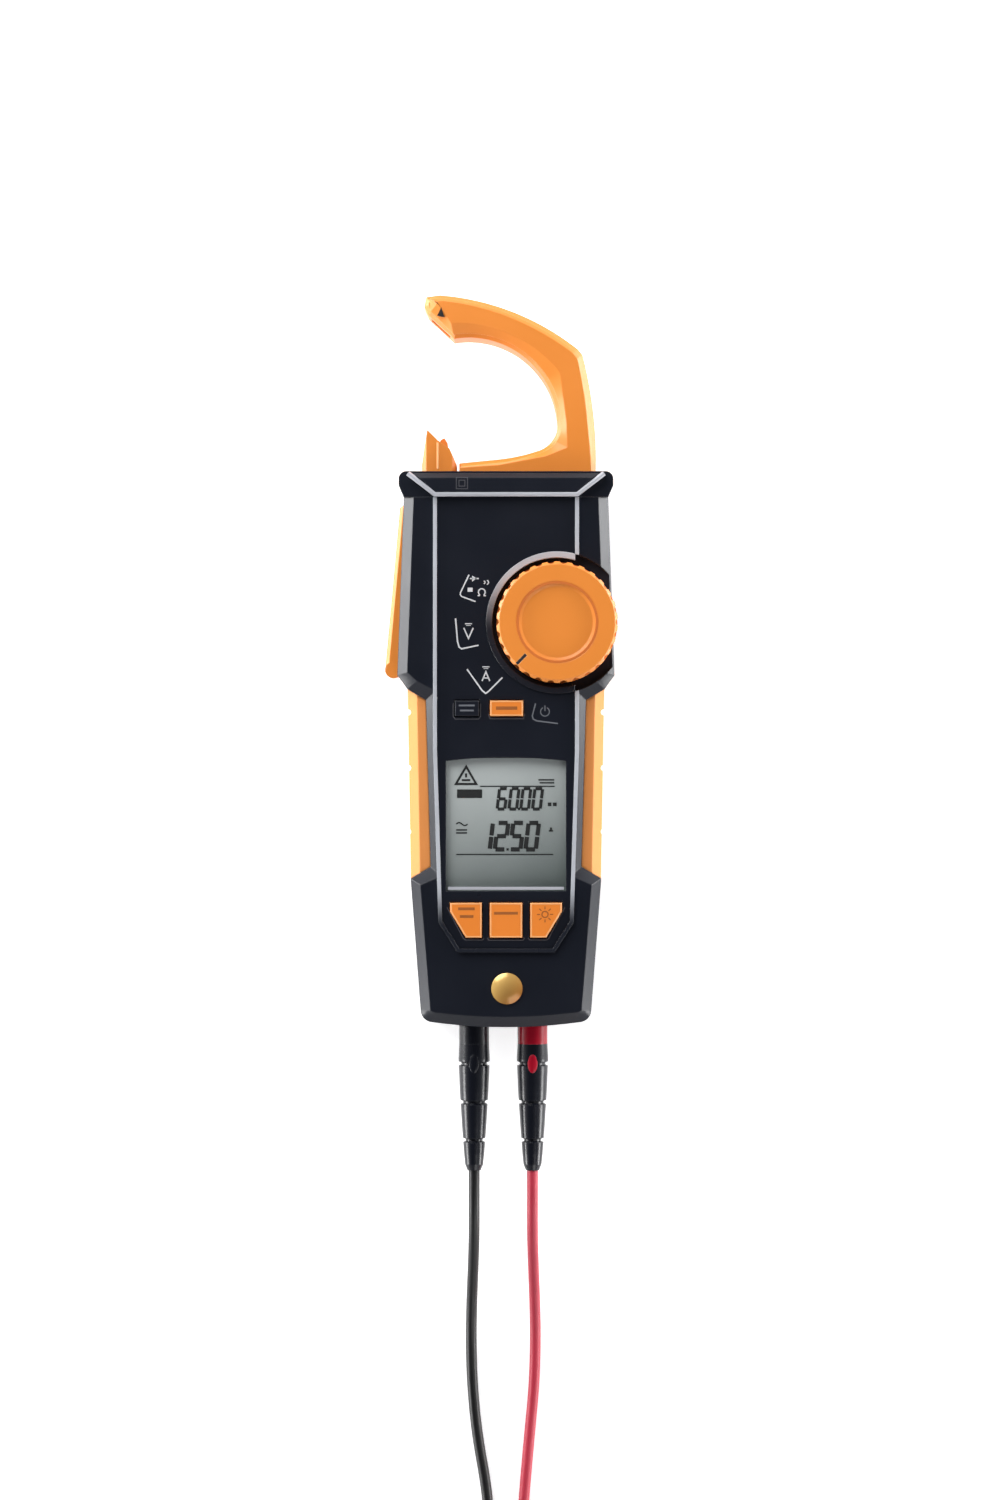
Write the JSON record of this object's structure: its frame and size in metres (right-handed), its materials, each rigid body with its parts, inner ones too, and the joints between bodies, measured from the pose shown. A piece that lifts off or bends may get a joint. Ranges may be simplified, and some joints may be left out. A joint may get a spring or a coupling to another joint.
{
  "type": "clamp meter",
  "caption": "Hand-held clamp meter with a hooked fixed jaw, a sliding jaw worked by a side trigger, a selector dial, keys, a display and two plugged-in test leads.",
  "frame": {"origin": "centreline of the case on its flat back face, midway along the case", "axes": "+Z out of the display, +Y along the case towards the jaws, +X to the right as the display is read"},
  "size_m": [0.1188, 0.6031, 0.044],
  "materials": {
    "case_plastic": "fine-grained blue-black moulding",
    "orange_plastic": "satin orange moulding",
    "grip_rubber": "soft orange overmould",
    "trim_paint": "silver-grey satin",
    "clear_window": "clear acrylic",
    "lcd": "grey-green liquid crystal panel",
    "dark_plastic": "black engineering plastic",
    "white_plastic": "white frame",
    "board_green": "solder-masked board",
    "silicone": "translucent grey silicone",
    "steel": "plain steel",
    "core_steel": "stacked laminations",
    "copper": "enamelled winding",
    "brass": "nickel-free brass",
    "badge_amber": "domed amber resin",
    "cell_jacket": "plain printed sleeve",
    "black_plastic": "black plug moulding",
    "red_plastic": "red moulding",
    "black_pvc": "soft black lead",
    "red_pvc": "soft red lead"
  },
  "bodies": {
    "case": {"front_shell": "case_plastic", "rear_shell": "case_plastic", "jaw_collar": "case_plastic", "left_grip": "grip_rubber", "right_grip": "grip_rubber", "face_panel": "case_plastic", "panel_trim": "trim_paint", "dial_bezel": "trim_paint", "display_window": "clear_window", "display_glass": "lcd", "display_frame": "white_plastic", "front_badge": "badge_amber", "main_board": "board_green", "key_mat": "silicone", "board_chips": "dark_plastic", "buzzer": "dark_plastic", "fixed_jaw_front": "orange_plastic", "fixed_jaw_rear": "orange_plastic", "fixed_core": "core_steel", "fixed_coil": "copper", "gear_axle": "steel", "trigger_pin": "steel", "return_spring": "steel", "socket_block": "dark_plastic", "socket_tubes": "brass", "batteries": "cell_jacket", "battery_contacts": "steel", "battery_door": "case_plastic", "door_screw": "steel", "case_screws": "steel"},
    "sliding_jaw": {"moving_jaw": "orange_plastic", "moving_core": "core_steel", "jaw_rack": "dark_plastic"},
    "gear": {"drive_gear": "white_plastic"},
    "trigger": {"trigger": "orange_plastic", "trigger_sector": "dark_plastic"},
    "dial": {"dial_knob": "orange_plastic", "dial_pointer": "dark_plastic", "switch_rotor": "dark_plastic"},
    "hold_button": {"hold_key": "case_plastic"},
    "mode_button": {"mode_key": "orange_plastic"},
    "range_button": {"range_key": "orange_plastic"},
    "peak_button": {"peak_key": "orange_plastic"},
    "light_button": {"light_key": "orange_plastic"},
    "black_lead": {"black_plug_grip": "black_plastic", "black_plug_shroud": "black_plastic", "black_plug_pin": "brass", "black_cable": "black_pvc", "black_coil": "black_pvc", "black_coil_tie": "dark_plastic", "black_probe_handle": "black_plastic", "black_probe_tip": "steel"},
    "red_lead": {"red_plug_grip": "black_plastic", "red_plug_shroud": "red_plastic", "red_plug_pin": "brass", "red_cable": "red_pvc", "red_coil": "red_pvc", "red_coil_tie": "dark_plastic", "red_probe_handle": "red_plastic", "red_probe_tip": "steel"}
  },
  "joints": [
    {"name": "trigger_hinge", "type": "hinge", "parent": "case", "child": "trigger", "pos_m": [-0.0313, 0.0805, 0.02], "axis": [0, 0, -1], "range_deg": [0, 16.5], "stiffness_Nm_per_rad": 0.06, "springref_deg": 22.92},
    {"name": "gear_spin", "type": "hinge", "parent": "case", "child": "gear", "pos_m": [-0.0135, 0.03111, 0.012], "axis": [0, 0, 1], "range_deg": [-1, 177.01]},
    {"name": "jaw_slide", "type": "slide", "parent": "case", "child": "sliding_jaw", "axis": [0, 1, 0], "range_m": [-0.0002, 0.0386]},
    {"name": "dial_turn", "type": "hinge", "parent": "case", "child": "dial", "pos_m": [0.01728, 0.043, 0.04], "axis": [0, 0, 1], "range_deg": [-70, 35]},
    {"name": "hold_press", "type": "slide", "parent": "case", "child": "hold_button", "axis": [0, 0, -1], "range_m": [0, 0.001], "stiffness_N_per_m": 400, "springref_m": -0.0005},
    {"name": "mode_press", "type": "slide", "parent": "case", "child": "mode_button", "axis": [0, 0, -1], "range_m": [0, 0.001], "stiffness_N_per_m": 400, "springref_m": -0.0005},
    {"name": "range_press", "type": "slide", "parent": "case", "child": "range_button", "axis": [0, 0, -1], "range_m": [0, 0.001], "stiffness_N_per_m": 400, "springref_m": -0.0005},
    {"name": "peak_press", "type": "slide", "parent": "case", "child": "peak_button", "axis": [0, 0, -1], "range_m": [0, 0.001], "stiffness_N_per_m": 400, "springref_m": -0.0005},
    {"name": "light_press", "type": "slide", "parent": "case", "child": "light_button", "axis": [0, 0, -1], "range_m": [0, 0.001], "stiffness_N_per_m": 400, "springref_m": -0.0005},
    {"name": "black_plug_pull", "type": "slide", "parent": "case", "child": "black_lead", "axis": [0, -1, 0], "range_m": [0, 0.022]},
    {"name": "red_plug_pull", "type": "slide", "parent": "case", "child": "red_lead", "axis": [0, -1, 0], "range_m": [0, 0.022]}
  ],
  "couplings": [
    {"joint": "gear_spin", "follows": "trigger_hinge", "ratio": 10.667},
    {"joint": "jaw_slide", "follows": "trigger_hinge", "m_per_rad": 0.13333}
  ]
}
